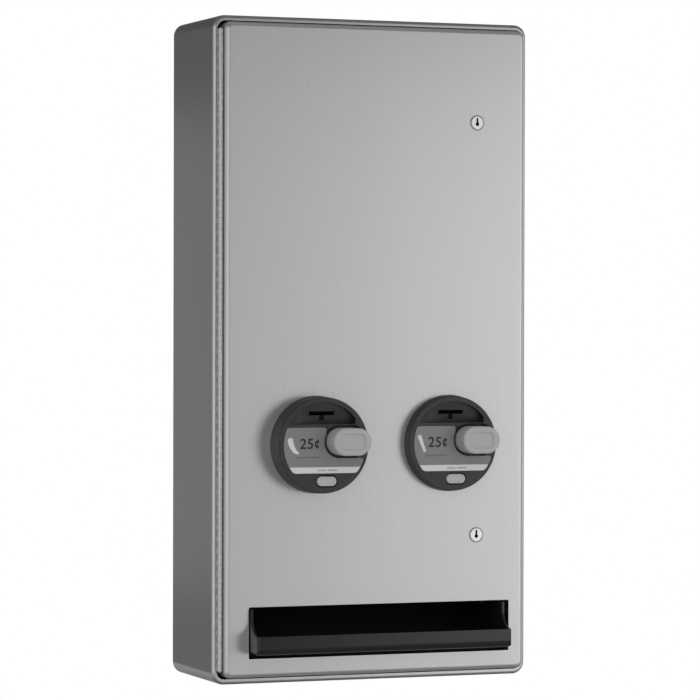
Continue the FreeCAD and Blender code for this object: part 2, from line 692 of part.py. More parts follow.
def cam_screw(z):
    """The screw that holds the cam on its plug."""
    back = CAM_FRONT + CAM_SHEET
    head = rod_y(LOCK_X, z, 4.2, back, back + 2.0)
    return head.makeFillet(0.8, edges_at_y(head, back + 2.0))


def coin_box_shelf():
    """The shelf inside the door with a low rear lip that keeps the coin boxes on it."""
    x0, x1 = LEFT_BOX[0] - 3, RIGHT_BOX[1] + 3
    floor = box(x0, x1, DOOR_BACK, BOX_BACK + 0.4 + SHEET, SHELF_Z - SHEET, SHELF_Z)
    lip = box(x0, x1, BOX_BACK + 0.4, BOX_BACK + 0.4 + SHEET, SHELF_Z - SHEET, SHELF_Z + SHELF_LIP)
    flange = box(x0, x1, DOOR_BACK, DOOR_BACK + SHEET, SHELF_Z - SHEET, SHELF_Z + 16)
    return joined(floor, lip, flange)


def coin_box(span, mech_x):
    """A folded steel coin box with an opening under its coin chute."""
    x0, x1 = span
    t = BOX_SHEET
    outside = box(x0, x1, BOX_FRONT, BOX_BACK, SHELF_Z + 0.3, BOX_TOP)
    inside = box(x0 + t, x1 - t, BOX_FRONT + t, BOX_BACK - t, SHELF_Z + 0.3 + t, BOX_TOP - t)
    mouth = box(mech_x - 31, mech_x + 1, CHUTE_FRONT - 2, PLATE_FRONT + 2, BOX_TOP - 2, BOX_TOP + 1)
    return outside.cut(inside).cut(mouth)


def left_coin_box():
    """The coin box under the napkin mechanism."""
    return coin_box(LEFT_BOX, NAPKIN_X)


def right_coin_box():
    """The coin box under the tampon mechanism."""
    return coin_box(RIGHT_BOX, TAMPON_X)


# Coin mechanisms

def knob_slab(x, grow, y0, y1):
    """The outline of a knob with rounded corners, grown all round and drawn along Y."""
    long, tall = KNOB_LONG / 2 + grow, KNOB_TALL / 2 + grow
    knob_x, knob_z = x + KNOB_X, MECH_Z + KNOB_Z
    return rounded_y(knob_x - long, knob_x + long, knob_z - tall, knob_z + tall, KNOB_R + grow, y0, y1)


def drum(x, proud):
    """The moulded drum of a coin mechanism, with every recess that its face shows."""
    face = DOOR_Y - proud
    front = Part.makeCone(DRUM_R - DRUM_DRAFT, DRUM_R, proud, V(x, face, MECH_Z), V(0, 1, 0))
    front = front.makeFillet(1.2, edges_at_y(front, face))
    rear = rod_y(x, MECH_Z, DRUM_REAR_R, DOOR_Y - 0.5, DRUM_REAR)
    bosses = [rod_y(x + dx, MECH_Z + dz, BOSS_R, DRUM_REAR - 1, PLATE_FRONT) for dx, dz in BOSSES]
    body = joined(front, rear, *bosses)

    low, top = MECH_Z + SCOOP_LOW, MECH_Z + SCOOP_R
    wedge = prism_x([(face - 1, low), (face + SCOOP_LOW_DEPTH, low),
                     (face + SCOOP_TOP_DEPTH, top + 1), (face - 1, top + 1)], x - SCOOP_R, x + SCOOP_RIGHT)
    slope = prism_z([(x + SCOOP_SLOPE[0], face), (x + SCOOP_SLOPE[1], face + SCOOP_LOW_DEPTH + 1),
                     (x + SCOOP_R, face + SCOOP_LOW_DEPTH + 1), (x + SCOOP_R, face - 2),
                     (x + SCOOP_SLOPE[0], face - 2)], low, top + 1)
    scoop = wedge.common(rod_y(x, MECH_Z, SCOOP_R, face - 2, face + 12)).common(slope)
    slot_z = MECH_Z + SLOT_Z
    bar = box(x - SLOT_LONG / 2, x + SLOT_LONG / 2, face, DRUM_REAR + 1,
              slot_z - SLOT_TALL / 2, slot_z + SLOT_TALL / 2)
    stem = box(x - SLOT_STEM_W / 2, x + SLOT_STEM_W / 2, face, face + 14,
               MECH_Z + SLOT_STEM_LOW, slot_z)
    recess = label_blank(x, face - 1, face + LABEL_SHEET + 0.2, 0.4)
    pocket = knob_slab(x, POCKET_SLIP, face - 1, face + POCKET_DEEP)
    guide = knob_slab(x, KNOB_SLIP, face, DRUM_REAR + 1)
    button_x, button_z = x + BUTTON_X, MECH_Z + BUTTON_Z
    button_room = stadium_y(button_x, button_z, BUTTON_LONG + 2 * BUTTON_SLIP,
                            BUTTON_TALL + 2 * BUTTON_SLIP, face - 1, BUTTON_FLOOR)
    stem_hole = rod_y(button_x, button_z, STEM_R + 0.2, BUTTON_FLOOR - 1, DRUM_REAR + 1)
    for tool in (scoop, bar, stem, recess, pocket, guide, button_room, stem_hole, drum_hollow(x, face)):
        body = body.cut(tool)
    return body


def drum_hollow(x, face):
    """The hollow in the back of a drum, round the walls of its slot, knob, button and bosses."""
    rear, wall = DRUM_REAR + 1, DRUM_WALL
    hollow = rod_y(x, MECH_Z, DRUM_REAR_R - wall, face + DRUM_SKIN, rear)
    kept = [rod_y(x + dx, MECH_Z + dz, BOSS_R, face, rear) for dx, dz in BOSSES]
    kept.append(knob_slab(x, wall, face, rear))
    kept.append(stadium_y(x + BUTTON_X, MECH_Z + BUTTON_Z, BUTTON_LONG + 2 * wall,
                          BUTTON_TALL + 2 * wall, face, rear))
    kept.append(box(x - SLOT_LONG / 2 - wall, x + SLOT_LONG / 2 + wall, face, rear,
                    MECH_Z + SLOT_STEM_LOW - wall, MECH_Z + SLOT_Z + SLOT_TALL / 2 + wall))
    for piece in kept:
        hollow = hollow.cut(piece)
    return hollow


def label_blank(x, y0, y1, grow):
    """The outline of the price label: a disc cut by two levels and round the knob pocket."""
    disc = rod_y(x + LABEL_SHIFT, MECH_Z, LABEL_R + grow, y0, y1)
    band = box(x - DRUM_R, x + DRUM_R, y0, y1, MECH_Z + LABEL_LOW - grow, MECH_Z + LABEL_TOP + grow)
    end, step = x + LABEL_END + grow, MECH_Z + LABEL_STEP + grow
    above = box(end, x + DRUM_R, y0 - 1, y1 + 1, MECH_Z + KNOB_Z, MECH_Z + DRUM_R)
    beside = box(x + KNOB_X, x + DRUM_R, y0 - 1, y1 + 1, step, MECH_Z + DRUM_R)
    blank = disc.common(band)
    for tool in (knob_slab(x, POCKET_SLIP - grow, y0 - 1, y1 + 1), above, beside):
        blank = blank.cut(tool)
    top, low = MECH_Z + LABEL_TOP + LABEL_R, MECH_Z + LABEL_LOW - LABEL_R
    corners = [((x - LABEL_R, top), 3.0), ((end, MECH_Z + LABEL_R), 1.8), ((x + 2 * LABEL_R, step), 2.2),
               ((x - LABEL_R, low), 5.0), ((x + LABEL_R, low), 4.0)]
    for place, r in corners:
        blank = blank.makeFillet(r, [corner_edge(blank, *place)])
    return blank


def corner_edge(shape, x, z):
    """The edge along Y that is nearest to a place beside the shape."""
    along = [e for e in shape.Edges if abs(e.tangentAt(e.FirstParameter).y) > 0.9]
    return min(along, key=lambda e: math.hypot(e.BoundBox.XMin - x, e.BoundBox.ZMin - z))


def price_label(x, proud):
    """The price label in its recess."""
    face = DOOR_Y - proud
    return label_blank(x, face + 0.2, face + 0.2 + LABEL_SHEET, 0.0)


def mech_chassis(x):
    """The steel bracket that pulls a drum against the door from inside."""
    left, right = x + PLATE_LEFT, x + PLATE_RIGHT
    low, high = MECH_Z - LEG_HALF_H, MECH_Z + LEG_HALF_H
    plate = box(left, right, PLATE_FRONT, PLATE_BACK, MECH_Z - PLATE_HALF_H, MECH_Z + PLATE_HALF_H)
    pieces = [plate]
    for wall, foot in ((left, left - FOOT), (right - SHEET, right)):
        pieces.append(box(wall, wall + SHEET, DOOR_BACK, PLATE_BACK, low, high))
        pieces.append(box(foot, foot + FOOT + SHEET * (wall == left), DOOR_BACK, DOOR_BACK + SHEET,
                          low, high))
    bracket = joined(*pieces)
    holes = [rod_y(x + KNOB_X, MECH_Z + KNOB_Z, PLUNGER_R + RUNNING, PLATE_FRONT - 1, PLATE_BACK + 1),
             rod_y(x + BUTTON_X, MECH_Z + BUTTON_Z, STEM_R + RUNNING, PLATE_FRONT - 1, PLATE_BACK + 1)]
    holes += [rod_y(x + dx, MECH_Z + dz, 2.0, PLATE_FRONT - 1, PLATE_BACK + 1) for dx, dz in BOSSES]
    for hole in holes:
        bracket = bracket.cut(hole)
    return bracket


def mech_screws():
    """The eight screws that hold the two chassis to the bosses of the drums."""
    screws = []
    for x in (NAPKIN_X, TAMPON_X):
        for dx, dz in BOSSES:
            screws.append(pan_head_y(x + dx, MECH_Z + dz, PLATE_BACK + 2.2, PLATE_FRONT))
    return grouped(screws)


def coin_chute(x):
    """A flat folded chute: throat behind the slot, funnel, and a fall to the coin box."""
    t = CHUTE_SHEET
    outline = [(-15.5, 39), (15.5, 39), (15.5, 24), (0, 10), (0, CHUTE_LOW), (-29, CHUTE_LOW),
               (-29, 10), (-15.5, 24)]
    hollow = [(-14.5, 38), (14.5, 38), (14.5, 24.4), (-1, 10.4), (-1, CHUTE_LOW - 1),
              (-28, CHUTE_LOW - 1), (-28, 10.4), (-14.5, 24.4)]
    outside = prism_y([(x + a, MECH_Z + b) for a, b in outline], CHUTE_FRONT, PLATE_FRONT)
    inside = prism_y([(x + a, MECH_Z + b) for a, b in hollow], CHUTE_FRONT + t, PLATE_FRONT - t)
    slot_z = MECH_Z + SLOT_Z
    throat = box(x - 14.5, x + 14.5, DRUM_REAR, CHUTE_FRONT + t, slot_z - 3, slot_z + 3)
    bore = box(x - 13.5, x + 13.5, DRUM_REAR - 1, CHUTE_FRONT + t + 1, slot_z - 2, slot_z + 2)
    window = box(x - 2, x + 1, CHUTE_FRONT + 0.8, PLATE_FRONT - 0.6, MECH_Z + BUTTON_Z - 3.5,
                 MECH_Z + BUTTON_Z + 3.5)
    return joined(outside, throat).cut(inside).cut(bore).cut(window)


def knob(x, proud):
    """A push knob with rounded edges, a shallow dish in front and a spring seat behind."""
    face = DOOR_Y - proud
    front, rear = face - KNOB_OUT, face + KNOB_IN
    knob_x, knob_z = x + KNOB_X, MECH_Z + KNOB_Z
    body = knob_slab(x, 0.0, front, rear)
    body = body.makeFillet(2.2, edges_at_y(body, front))
    dish = rounded_y(knob_x - DISH_LONG / 2, knob_x + DISH_LONG / 2, knob_z - DISH_TALL / 2,
                     knob_z + DISH_TALL / 2, DISH_R, front - 1, front + DISH_DEEP)
    dish = dish.makeFillet(0.6, edges_at_y(dish, front + DISH_DEEP))
    seat = rod_y(knob_x, knob_z, SEAT_R, rear - SEAT_DEEP, rear + 1)
    bore = rod_y(knob_x, knob_z, PLUNGER_R, rear - SEAT_DEEP - 10, rear)
    return body.cut(dish).cut(seat).cut(bore)


def plunger(x, proud):
    """The steel rod in the back of a knob, with a round tip and a groove for its clip."""
    rear = DOOR_Y - proud + KNOB_IN
    knob_x, knob_z = x + KNOB_X, MECH_Z + KNOB_Z
    start = rear - SEAT_DEEP - 10
    shaft = rod_y(knob_x, knob_z, PLUNGER_R, start, PLUNGER_TIP)
    shaft = shaft.makeFillet(1.8, edges_at_y(shaft, PLUNGER_TIP))
    groove = rod_y(knob_x, knob_z, PLUNGER_R + 1, PLATE_BACK + 0.3, PLATE_BACK + 1.3)
    groove = groove.cut(rod_y(knob_x, knob_z, PLUNGER_R - 0.8, PLATE_BACK, PLATE_BACK + 2))
    return shaft.cut(groove)


def retaining_clip(x):
    """The open ring in the groove of the plunger, which stops it behind the plate."""
    knob_x, knob_z = x + KNOB_X, MECH_Z + KNOB_Z
    ring = rod_y(knob_x, knob_z, PLUNGER_R + 2.2, PLATE_BACK + 0.4, PLATE_BACK + 1.2)
    ring = ring.cut(rod_y(knob_x, knob_z, PLUNGER_R - 0.8, PLATE_BACK, PLATE_BACK + 2))
    gap = box(knob_x - 2.0, knob_x + 2.0, PLATE_BACK, PLATE_BACK + 2, knob_z - 8, knob_z)
    return ring.cut(gap)


def knob_spring(x, proud):
    """The compression spring between a knob and the chassis plate."""
    rear = DOOR_Y - proud + KNOB_IN
    return coil_y(x + KNOB_X, MECH_Z + KNOB_Z, rear - SEAT_DEEP, PLATE_FRONT, 6.0, 0.7, 7)


def return_button(x, proud):
    """A coin return button with its stem and the release finger that enters the chute."""
    front = DOOR_Y - proud - BUTTON_OUT
    button_x, button_z = x + BUTTON_X, MECH_Z + BUTTON_Z
    cap = stadium_y(button_x, button_z, BUTTON_LONG, BUTTON_TALL, front, front + BUTTON_BODY)
    cap = cap.makeFillet(1.6, edges_at_y(cap, front))
    cap = cap.cut(stadium_y(button_x, button_z, BUTTON_LONG - 6, BUTTON_TALL - 4.6, front - 1,
                            front + BUTTON_DISH))
    stem = rod_y(button_x, button_z, STEM_R, front + BUTTON_BODY - 1, STEM_TIP)
    finger_y = CHUTE_FRONT + 1.2
    finger = box(x - 16, button_x, finger_y, finger_y + 1.0, button_z - 1.5, button_z + 1.5)
    return joined(cap, stem, finger)


def button_spring(x, proud):
    """The small compression spring under a coin return button."""
    rear = DOOR_Y - proud - BUTTON_OUT + BUTTON_BODY
    return coil_y(x + BUTTON_X, MECH_Z + BUTTON_Z, rear, BUTTON_FLOOR, 3.4, 0.35, 5)


def pieces():
    """Every piece of the machine by its node name."""
    made = {
        "cabinet_shell": cabinet_shell(),
        "back_panel": back_panel(),
        "hinge_leaf_fixed": hinge_leaf(-1),
        "hinge_leaf_door": hinge_leaf(1),
        "hinge_pin": hinge_pin(),
        "lock_strikes": lock_strikes(),
        "napkin_magazine": napkin_magazine(),
        "tampon_magazine": tampon_magazine(),
        "magazine_screws": magazine_screws(),
        "pivot_rail": pivot_rail(),
        "pivot_rods": pivot_rods(),
        "napkin_rocker": napkin_rocker(),
        "tampon_rocker": tampon_rocker(),
        "napkin_rocker_spring": rocker_spring(NAPKIN_ROD),
        "tampon_rocker_spring": rocker_spring(TAMPON_ROD),
        "drop_chute": drop_chute(),
        "chute_screws": chute_screws(),
        "dispensing_tray": dispensing_tray(),
        "tray_screws": tray_screws(),
        "door_panel": door_panel(),
        "lock_nuts": lock_nuts(),
        "coin_box_shelf": coin_box_shelf(),
        "left_coin_box": left_coin_box(),
        "right_coin_box": right_coin_box(),
        "mech_screws": mech_screws(),
    }
    for name, z in (("upper", UPPER_LOCK_Z), ("lower", LOWER_LOCK_Z)):
        made[name + "_lock_housing"] = lock_housing(z)
        made[name + "_lock_plug"] = lock_plug(z)
        made[name + "_lock_cam"] = lock_cam(z)
        made[name + "_cam_screw"] = cam_screw(z)
    for name, x, proud in (("napkin", NAPKIN_X, NAPKIN_PROUD), ("tampon", TAMPON_X, TAMPON_PROUD)):
        made[name + "_drum"] = drum(x, proud)
        made[name + "_price_label"] = price_label(x, proud)
        made[name + "_mech_chassis"] = mech_chassis(x)
        made[name + "_coin_chute"] = coin_chute(x)
        made[name + "_knob"] = knob(x, proud)
        made[name + "_plunger"] = plunger(x, proud)
        made[name + "_retaining_clip"] = retaining_clip(x)
        made[name + "_knob_spring"] = knob_spring(x, proud)
        made[name + "_return_button"] = return_button(x, proud)
        made[name + "_button_spring"] = button_spring(x, proud)
    return made


os.makedirs("parts", exist_ok=True)
for node, shape in pieces().items():
    shape.exportStep("parts/" + node + ".step")
    print(node, "solids", len(shape.Solids), "volume", round(shape.Volume), "valid", shape.isValid())
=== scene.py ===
"""Looks of a surface mounted vending machine with two push mechanisms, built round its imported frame."""
import json
import math

import bmesh
import bpy
from mathutils import Matrix, Vector

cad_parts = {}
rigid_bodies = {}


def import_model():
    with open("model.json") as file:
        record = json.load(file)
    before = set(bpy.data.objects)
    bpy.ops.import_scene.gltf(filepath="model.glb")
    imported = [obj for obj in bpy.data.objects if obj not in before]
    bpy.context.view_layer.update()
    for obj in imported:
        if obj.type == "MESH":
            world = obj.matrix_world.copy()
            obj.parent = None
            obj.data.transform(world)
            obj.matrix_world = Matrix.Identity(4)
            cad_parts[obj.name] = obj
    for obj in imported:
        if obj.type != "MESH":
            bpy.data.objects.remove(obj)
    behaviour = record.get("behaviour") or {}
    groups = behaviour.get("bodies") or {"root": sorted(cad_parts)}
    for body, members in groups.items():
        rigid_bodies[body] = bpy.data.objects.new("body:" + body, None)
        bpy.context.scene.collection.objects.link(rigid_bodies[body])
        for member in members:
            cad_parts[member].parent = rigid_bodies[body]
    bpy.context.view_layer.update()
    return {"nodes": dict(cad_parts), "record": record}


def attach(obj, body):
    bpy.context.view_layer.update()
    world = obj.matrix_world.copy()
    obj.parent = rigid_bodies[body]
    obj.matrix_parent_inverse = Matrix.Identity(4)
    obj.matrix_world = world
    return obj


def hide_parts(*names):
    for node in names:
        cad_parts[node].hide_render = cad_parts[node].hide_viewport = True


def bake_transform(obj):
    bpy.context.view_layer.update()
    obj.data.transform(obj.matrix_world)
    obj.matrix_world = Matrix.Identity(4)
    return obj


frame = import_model()
nodes = frame["nodes"]
MM = 0.001
WHITE = (1.0, 1.0, 1.0, 1.0)

# Camera of the photograph, fitted to the corners of the cabinet and the door
PHOTO_PX = 700
FOCAL_PX = 3436.37
SENSOR_MM = 36.0
CAMERA_AT = (-1.26089, -3.32456, 0.03488)
CAMERA_REACH = 50.0
YAW, PITCH, ROLL = 21.1405, 0.5826, 0.1327

# Greys that metal mirrors: (degrees to the right of straight ahead, grey), then (height, grey)
WALL_TONES = [(-180, 0.06), (-158, 0.01), (-140, 0.03), (-115, 0.24), (-60, 0.45), (-48, 0.62),
              (-30, 0.55), (-18, 0.18), (-6, 0.02), (28, 0.01), (35, 1.0), (48, 0.90), (58, 0.15),
              (140, 0.20), (180, 0.06)]
HEIGHT_TONES = [(-1.0, 0.12), (-0.4, 0.18), (-0.14, 0.88), (-0.04, 1.0), (0.0, 0.97), (0.05, 0.86),
                (0.12, 0.56), (0.4, 0.15), (0.85, 0.12), (1.0, 0.25)]

# Strength of the walls that metal mirrors, and of the even light on everything else
WALL_POWER = 2.0
FILL_POWER = 0.85

# Lamps: name, place, what it faces, width and height, power, and whether metal mirrors it
FRONT_MIDDLE = (0.0, -0.1, -0.08)
LEFT_SIDE = (-0.17, -0.06, -0.02)
LAMPS = [
    ("key_light", (1.30, -2.05, -0.2), FRONT_MIDDLE, (1.0, 1.5), 5.3, True),
    ("front_light", (-0.85, -2.1, -0.1), FRONT_MIDDLE, (0.5, 1.6), 2.6, True),
    ("side_light", (-0.70, 1.40, -0.02), LEFT_SIDE, (0.5, 0.7), 0.25, True),
    ("top_light", (0.0, -0.35, 2.2), FRONT_MIDDLE, (1.6, 1.2), 7.2, False),
]

# Floor: its height, half its width, its matt grey, and how much of what is seen of it is plain white
FLOOR_Z = -1.25
FLOOR_HALF = 6.0
FLOOR_GREY = 0.85
FLOOR_WHITE = 0.86

# Glow of the floor in metal, with a painted shadow: dim under the cabinet and brighter out from it, and how
# far out
FLOOR_SHADOW_REACH = (0.5, 2.6)
FLOOR_SHADOW_GLOW = (0.10, 0.36)

# Noise: its roughness, and the part of its range that a finish's tones are laid over
NOISE_ROUGH = 0.55
NOISE_SPAN = (0.3, 0.7)

# Satin steel: its grain across and along, how level a face is where the grain turns, and its tones
GRAIN_FINE, GRAIN_LONG = 1000.0, 9.0
GRAIN_TURN = (0.6, 0.8)
GRAIN_TONES = (0.97, 1.02)
CLOUDS = 5.0
CLOUD_STRETCH = (1.0, 1.0, 0.5)
CLOUD_TONES = (0.975, 1.0)
SATIN_ROUGH, SATIN_UNEVEN = 0.32, 0.012
SATIN_ANISOTROPY = 0.65

# Depth of the relief on each kind of finish, in metres
GRAIN_DEPTH = 0.00004
METAL_DEPTH = 0.00005
PLASTIC_DEPTH = 0.00006

# Least and greatest roughness of metal and of plastic, as shares of what the finish says
METAL_POLISH = (0.85, 1.2)
PLASTIC_POLISH = (0.88, 1.12)

# Zinc coating: how fine its crystals are, their tones and their polish
ZINC_CRYSTALS = 120.0
ZINC_DARK, ZINC_PALE = (0.40, 0.42, 0.43), (0.56, 0.58, 0.59)
ZINC_ROUGH = (0.34, 0.52)

# Lock plugs: how fine their speckle is, the tones and polish of the face, and the painted shade, black, in
# the keyway
LOCK_SPECKLE = 90.0
LOCK_TONES = (0.70, 0.74)
LOCK_ROUGH = (0.18, 0.24)
KEYWAY_PAINTED_SHADE = (0.004, 0.004, 0.004, 1.0)

# Plastic: how fine its slight changes of tone are
PLASTIC_CLOUDS = 45.0

# Printed film: how fine its speckle is, its tones and its polish
PRINT_SPECKLE = 900.0
PRINT_TONES = (0.95, 1.05)
PRINT_ROUGH, PRINT_UNEVEN = 0.42, 0.04

# Curved nodes: points nearer than this are one, and a sharper turn than this is a crisp edge
WELD = 1e-6
CREASE_DEG = 28.0

# Length along its axis in which a rocker's spring winds up, in metres
TORSION_RUN = 0.0065

# Places on the door, in metres: the middle and face of each mechanism, and the depths where a keyway gets
# painted shade
DOOR_Y = -0.134
MECH_Z = -0.0937
MECHS = {"napkin": (-0.063, DOOR_Y - 0.022), "tampon": (0.0797, DOOR_Y - 0.011)}
KEYWAY_SHADE_Y = (DOOR_Y - 0.0003, DOOR_Y + 0.0080)

# Price labels, in metres: their place on the mechanism, and how far print stands out and goes in
LABEL_Z = MECH_Z + 0.0011
LABEL_FRONT = 0.0002
LABEL_R = 0.0433
LABEL_SHIFT = 0.0014
PRINT_OUT, PRINT_IN = 0.00006, 0.0001
BAR_OUT = 0.00002
PRINT_WELD = 1e-7

# Band along the foot of a label, in metres: its foot and top, and how its lower corners are cut
BAND_FOOT, BAND_TOP = -0.0275, -0.0215
BAND_INSET = 0.0003
BAND_CORNER = 0.0018
BAND_CUT_LEFT, BAND_CUT_RIGHT = 0.0023, 0.0019
BAND_STEPS = 16

# Characters: half their thickness, how bold and slanted they are, and how wide apart
LETTER_HALF = 0.00003
LETTER_BOLD = 0.018
LETTER_SLANT = 0.05
LETTER_SPACE = 1.08

# Print on both labels, in millimetres: the price, the unit beside it with its bar, and the rules
PRICE_Z = -4.7
PRICE_SIZE = (14.0, 10.5)
UNIT_STEP = (15.6, 1.3)
UNIT_SIZE = (4.8, 7.2)
UNIT_BAR_STEPS = (17.2, 18.2)
UNIT_BAR_Z = (-4.6, 4.6)
UNIT_BAR_LEAN = 1.4
RULE_Z = (-13.7, -12.1)
BAND_RULES_X = {"a": (-6.5, 2.5), "b": (4.2, 14.5)}
BAND_RULES_Z = (-26.4, -25.1)

# Print on each label, in millimetres: the sign's path and widths, and where the price and rule lie
LABELS = {
    "napkin": {
        "path": [(-35.8, 6.2), (-35.3, 4.8), (-34.7, 1.4), (-33.2, -2.8), (-30.2, -6.9), (-26.4, -9.2)],
        "widths": [3.6, 5.5, 5.5, 5.0, 3.9, 1.6],
        "price_x": -25.3,
        "rule_x": (-29.8, -4.2),
    },
    "tampon": {
        "path": [(-36.6, 7.4), (-34.5, 1.8), (-32.4, -3.8), (-30.3, -9.2)],
        "widths": [3.9, 3.6, 3.1, 2.5],
        "price_x": -26.9,
        "rule_x": (-30.6, -6.2),
    },
}

# Nodes that take their finish as they are
PLAIN_NODES = {"lock_strikes", "coin_box_shelf", "left_coin_box", "right_coin_box", "drop_chute",
               "lock_nuts", "napkin_coin_chute", "tampon_coin_chute"}

# Nodes whose finish isn't the one of their slot
OWN_FINISH = {"cabinet_shell": "wrap_stainless", "hinge_leaf_fixed": "wrap_stainless",
              "upper_lock_plug": "lock_face", "lower_lock_plug": "lock_face",
              # The galvanised coin chutes get black sheet as painted shade, so that the slots in the drums
              # look dark
              "napkin_coin_chute": "black_sheet", "tampon_coin_chute": "black_sheet",
              "napkin_return_button": "button_plastic", "tampon_return_button": "button_plastic"}


# Node trees

class Nodes:
    """Short hand for building a node tree."""

    def __init__(self, tree):
        self.tree = tree

    def add(self, kind, **values):
        """A node with its settings, and with values on its sockets."""
        node = self.tree.nodes.new(kind)
        for key, value in values.items():
            if hasattr(node, key):
                setattr(node, key, value)
            else:
                node.inputs[key.replace("_", " ")].default_value = value
        return node

    def link(self, out, into):
        """A wire from one socket to another."""
        self.tree.links.new(out, into)

    def split(self, vector):
        """The parts of a vector, by letter."""
        node = self.add("ShaderNodeSeparateXYZ")
        self.link(vector, node.inputs["Vector"])
        return node.outputs

    def maths(self, operation, *values):
        """The result of an operation on sockets and plain numbers."""
        node = self.add("ShaderNodeMath", operation=operation)
        for value, socket in zip(values, node.inputs):
            if isinstance(value, float):
                socket.default_value = value
            else:
                self.link(value, socket)
        return node.outputs[0]

    def coordinates(self, scale=(1.0, 1.0, 1.0)):
        """Object coordinates stretched by a scale."""
        place = self.add("ShaderNodeTexCoord")
        stretch = self.add("ShaderNodeMapping", Scale=scale)
        self.link(place.outputs["Object"], stretch.inputs["Vector"])
        return stretch.outputs["Vector"]

    def between(self, low, high):
        """1 where the depth of a point lies between two values of Y, else 0."""
        place = self.split(self.add("ShaderNodeTexCoord").outputs["Object"])
        return self.maths("COMPARE", place["Y"], (low + high) / 2, (high - low) / 2)

    def noise(self, vector, scale, detail):
        """Noise between 0 and 1 along a vector."""
        node = self.add("ShaderNodeTexNoise", Scale=scale, Detail=detail, Roughness=NOISE_ROUGH)
        self.link(vector, node.inputs["Vector"])
        return node.outputs["Fac"]

    def spread(self, value, low, high, to_low, to_high):
        """A value mapped from one range to another."""
        node = self.add("ShaderNodeMapRange", From_Min=low, From_Max=high, To_Min=to_low, To_Max=to_high)
        self.link(value, node.inputs["Value"])
        return node.outputs["Result"]

    def tones(self, value, stops):
        """A ramp of greys or colours over a value."""
        node = self.add("ShaderNodeValToRGB")
        ramp = node.color_ramp
        while len(ramp.elements) < len(stops):
            ramp.elements.new(0.5)
        for element, (place, colour) in zip(ramp.elements, stops):
            element.position = place
            element.color = (*colour, 1.0)
        self.link(value, node.inputs["Fac"])
        return node.outputs["Color"]

    def product(self, one, other):
        """Two colours multiplied."""
        node = self.add("ShaderNodeMix", data_type="RGBA", blend_type="MULTIPLY")
        node.inputs[0].default_value = 1.0
        self.link(one, node.inputs[6])
        self.link(other, node.inputs[7])
        return node.outputs[2]

    def bump(self, height, strength, distance):
        """A normal bent by a height."""
        node = self.add("ShaderNodeBump", Strength=strength, Distance=distance)
        self.link(height, node.inputs["Height"])
        return node.outputs["Normal"]

    def mixed(self, share, first, second):
        """The first of two shaders where the share is 0, and the second where it is 1."""
        node = self.add("ShaderNodeMixShader")
        for out, socket in zip((share, first, second), node.inputs):
            self.link(out, socket)
        return node.outputs[0]


# Camera, light and stage

def photo_camera():
    """The camera at the photograph's place and angle."""
    yaw, pitch, roll = (math.radians(a) for a in (YAW, PITCH, ROLL))
    ahead = Vector((math.sin(yaw) * math.cos(pitch), math.cos(yaw) * math.cos(pitch), -math.sin(pitch)))
    level = Vector((math.cos(yaw), -math.sin(yaw), 0.0))
    above = level.cross(ahead)
    right = math.cos(roll) * level + math.sin(roll) * above
    up = math.cos(roll) * above - math.sin(roll) * level
    turn = Matrix((right, up, -ahead)).transposed().to_4x4()
    data = bpy.data.cameras.new("photo_camera")
    data.sensor_width = SENSOR_MM
    data.sensor_fit = "HORIZONTAL"
    data.lens = FOCAL_PX * SENSOR_MM / PHOTO_PX
    data.clip_end = CAMERA_REACH
    camera = bpy.data.objects.new("photo_camera", data)
    camera.matrix_world = Matrix.Translation(CAMERA_AT) @ turn
    bpy.context.scene.collection.objects.link(camera)
    bpy.context.scene.camera = camera


def softbox(name, place, target, size, power, mirrored):
    """A rectangular lamp that faces its target, and that metal mirrors or not."""
    data = bpy.data.lights.new(name, "AREA")
    data.shape = "RECTANGLE"
    data.size, data.size_y = size
    data.energy = power
    lamp = bpy.data.objects.new(name, data)
    aim = (Vector(target) - Vector(place)).to_track_quat("-Z", "Y").to_matrix().to_4x4()
    lamp.matrix_world = Matrix.Translation(place) @ aim
    lamp.visible_glossy = mirrored
    bpy.context.scene.collection.objects.link(lamp)


def studio():
    """A world that looks white, lights evenly and shows metal dark and pale walls, and the lamps."""
    world = bpy.data.worlds.new("studio")
    bpy.context.scene.world = world
    world.use_nodes = True
    world.node_tree.nodes.clear()
    n = Nodes(world.node_tree)
    path = n.add("ShaderNodeLightPath")
    out = n.add("ShaderNodeOutputWorld")
    seen = n.add("ShaderNodeBackground", Color=WHITE, Strength=1.0)
    mirrored = n.add("ShaderNodeBackground", Strength=WALL_POWER)
    n.link(surround(n), mirrored.inputs["Color"])
    fill = n.add("ShaderNodeBackground", Color=WHITE, Strength=FILL_POWER)
    unseen = n.mixed(path.outputs["Is Glossy Ray"], fill.outputs[0], mirrored.outputs[0])
    direct = n.maths("MAXIMUM", path.outputs["Is Camera Ray"], path.outputs["Is Transmission Ray"])
    n.link(n.mixed(direct, unseen, seen.outputs[0]), out.inputs["Surface"])
    for lamp in LAMPS:
        softbox(*lamp)


def surround(n):
    """The tones of the studio walls that metal mirrors, by compass turn and by height."""
    towards = n.split(n.add("ShaderNodeTexCoord").outputs["Generated"])
    turn = n.maths("ARCTAN2", towards["X"], n.maths("MULTIPLY", towards["Y"], -1.0))
    walls = n.tones(n.spread(turn, -math.pi, math.pi, 0.0, 1.0), grey_stops(WALL_TONES, whole=360.0))
    levels = n.tones(n.spread(towards["Z"], -1.0, 1.0, 0.0, 1.0), grey_stops(HEIGHT_TONES, whole=2.0))
    return n.product(walls, levels)


def grey_stops(tones, whole):
    """Ramp stops out of (place, grey) pairs whose places run over plus and minus half of whole."""
    return [(place / whole + 0.5, (grey,) * 3) for place, grey in tones]


